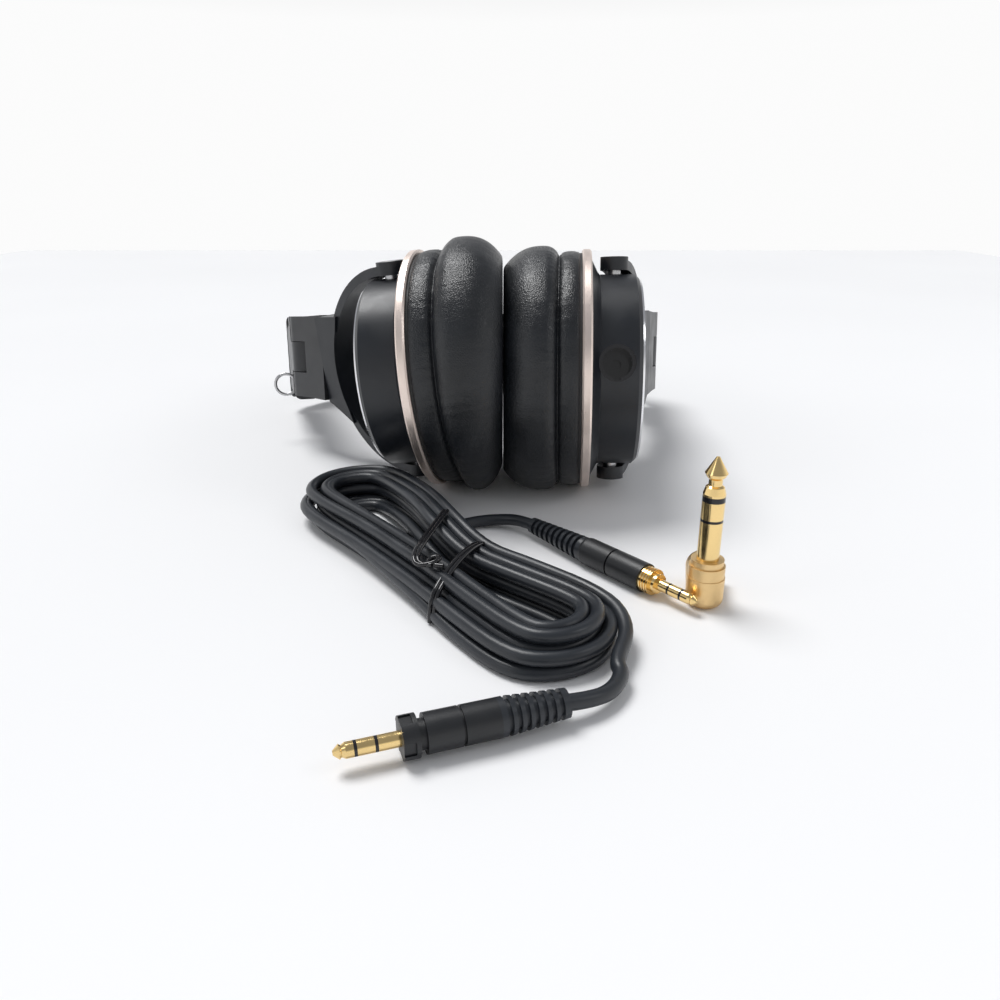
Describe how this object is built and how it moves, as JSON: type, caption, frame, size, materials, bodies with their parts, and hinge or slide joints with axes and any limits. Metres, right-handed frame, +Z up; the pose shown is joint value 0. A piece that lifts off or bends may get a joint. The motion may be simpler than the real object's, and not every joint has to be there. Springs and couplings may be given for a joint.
{
  "type": "headphones",
  "caption": "Closed-back over-ear headphones lying on edge, pads together, with folding hinges, extending headband, detachable cable in a tied hank and right-angle plug adapter.",
  "frame": {"origin": "on the surface it lies on, under the middle of the headphones' box without the cable", "axes": "+Z up, +X across the head towards the cup with the cable socket, +Y from the cups towards the crown of the headband"},
  "size_m": [0.1936, 0.3526, 0.0936],
  "materials": {
    "leather": "grained",
    "hinge_plastic": "satin",
    "steel": "brushed",
    "shell_plastic": "satin",
    "inner_plastic": "matte",
    "magnet": "plated",
    "film": "clear film",
    "mesh_cloth": "fine weave",
    "trim_metal": "satin anodised",
    "accent_metal": "polished",
    "cap_plastic": "satin",
    "socket_plastic": "gloss",
    "cable_jacket": "satin",
    "plug_plastic": "fine texture",
    "gold": "gold plated",
    "insulator": "gloss",
    "tie_plastic": "gloss"
  },
  "bodies": {
    "headband": {"headband_cover": "leather", "spring_band": "steel", "crown_cushion": "leather", "slider_guide_left": "hinge_plastic", "slider_guide_right": "hinge_plastic", "cable_hank": "cable_jacket", "cable_lead_jack": "cable_jacket", "cable_lead_lock": "cable_jacket", "cable_tie": "tie_plastic", "plug_jack_relief": "cable_jacket", "plug_jack_grip": "plug_plastic", "plug_jack_collar": "gold", "plug_jack_pin": "gold", "plug_jack_rings": "insulator", "plug_lock_relief": "cable_jacket", "plug_lock_grip": "plug_plastic", "plug_lock_pin": "gold", "plug_lock_rings": "insulator", "adapter_body": "gold", "adapter_shaft": "gold", "adapter_rings": "insulator"},
    "slider_left": {"slider_left": "steel", "hinge_block_left": "hinge_plastic", "hinge_pin_left": "steel", "hinge_wire_left": "steel"},
    "fork_left": {"hinge_fork_left": "hinge_plastic"},
    "yoke_left": {"yoke_left": "shell_plastic"},
    "cup_left": {"pivot_screws_left": "steel", "cup_housing_left": "shell_plastic", "accent_ring_left": "accent_metal", "cup_cap_left": "cap_plastic", "trim_ring_left": "trim_metal", "baffle_left": "inner_plastic", "driver_basket_left": "inner_plastic", "driver_magnet_left": "magnet", "diaphragm_left": "film", "dust_screen_left": "mesh_cloth", "pad_carrier_left": "inner_plastic", "ear_pad_left": "leather"},
    "slider_right": {"slider_right": "steel", "hinge_block_right": "hinge_plastic", "hinge_pin_right": "steel"},
    "fork_right": {"hinge_fork_right": "hinge_plastic"},
    "yoke_right": {"yoke_right": "shell_plastic"},
    "cup_right": {"pivot_screws_right": "steel", "cup_housing_right": "shell_plastic", "accent_ring_right": "accent_metal", "cup_cap_right": "cap_plastic", "trim_ring_right": "trim_metal", "baffle_right": "inner_plastic", "driver_basket_right": "inner_plastic", "driver_magnet_right": "magnet", "diaphragm_right": "film", "dust_screen_right": "mesh_cloth", "pad_carrier_right": "inner_plastic", "ear_pad_right": "leather", "jack_socket": "socket_plastic"}
  },
  "joints": [
    {"name": "slide_left", "type": "slide", "parent": "headband", "child": "slider_left", "axis": [0.2824, -0.9493, 0.1378], "range_m": [0, 0.028], "deforming": ["cable_hank", "cable_lead_jack", "cable_lead_lock", "cable_tie", "ear_pad_left", "ear_pad_right"]},
    {"name": "fold_left", "type": "hinge", "parent": "slider_left", "child": "fork_left", "pos_m": [-0.07223, -0.01355, 0.04117], "axis": [-0.0109, 0.1405, 0.99], "range_deg": [-18.9, 66.1], "deforming": ["cable_hank", "cable_lead_jack", "cable_lead_lock", "cable_tie", "ear_pad_left", "ear_pad_right"]},
    {"name": "swivel_left", "type": "hinge", "parent": "fork_left", "child": "yoke_left", "pos_m": [-0.05675, -0.02819, 0.03937], "axis": [-0.7349, 0.6702, -0.1032], "range_deg": [-1.4, 18.6], "deforming": ["cable_hank", "cable_lead_jack", "cable_lead_lock", "cable_tie", "ear_pad_left", "ear_pad_right"]},
    {"name": "tilt_left", "type": "hinge", "parent": "yoke_left", "child": "cup_left", "pos_m": [-0.02221, -0.05969, 0.04422], "axis": [-0.1122, 0.0299, 0.9932], "range_deg": [-6, 20], "deforming": ["cable_hank", "cable_lead_jack", "cable_lead_lock", "cable_tie", "ear_pad_left", "ear_pad_right"]},
    {"name": "slide_right", "type": "slide", "parent": "headband", "child": "slider_right", "axis": [-0.1321, -0.9816, 0.1378], "range_m": [0, 0.028], "deforming": ["cable_hank", "cable_lead_jack", "cable_lead_lock", "cable_tie", "ear_pad_left", "ear_pad_right"]},
    {"name": "fold_right", "type": "hinge", "parent": "slider_right", "child": "fork_right", "pos_m": [0.0817, -0.00157, 0.04117], "axis": [-0.0109, 0.1405, 0.99], "range_deg": [-30, 0], "deforming": ["cable_hank", "cable_lead_jack", "cable_lead_lock", "cable_tie", "ear_pad_left", "ear_pad_right"]},
    {"name": "swivel_right", "type": "hinge", "parent": "fork_right", "child": "yoke_right", "pos_m": [0.07471, -0.02173, 0.03991], "axis": [0.3353, 0.9333, -0.1287], "range_deg": [-10, 10], "deforming": ["cable_hank", "cable_lead_jack", "cable_lead_lock", "cable_tie", "ear_pad_left", "ear_pad_right"]},
    {"name": "tilt_right", "type": "hinge", "parent": "yoke_right", "child": "cup_right", "pos_m": [0.05895, -0.06559, 0.04596], "axis": [-0.0109, 0.1405, 0.99], "range_deg": [-12, 15], "deforming": ["cable_hank", "cable_lead_jack", "cable_lead_lock", "cable_tie", "ear_pad_left", "ear_pad_right"]}
  ]
}
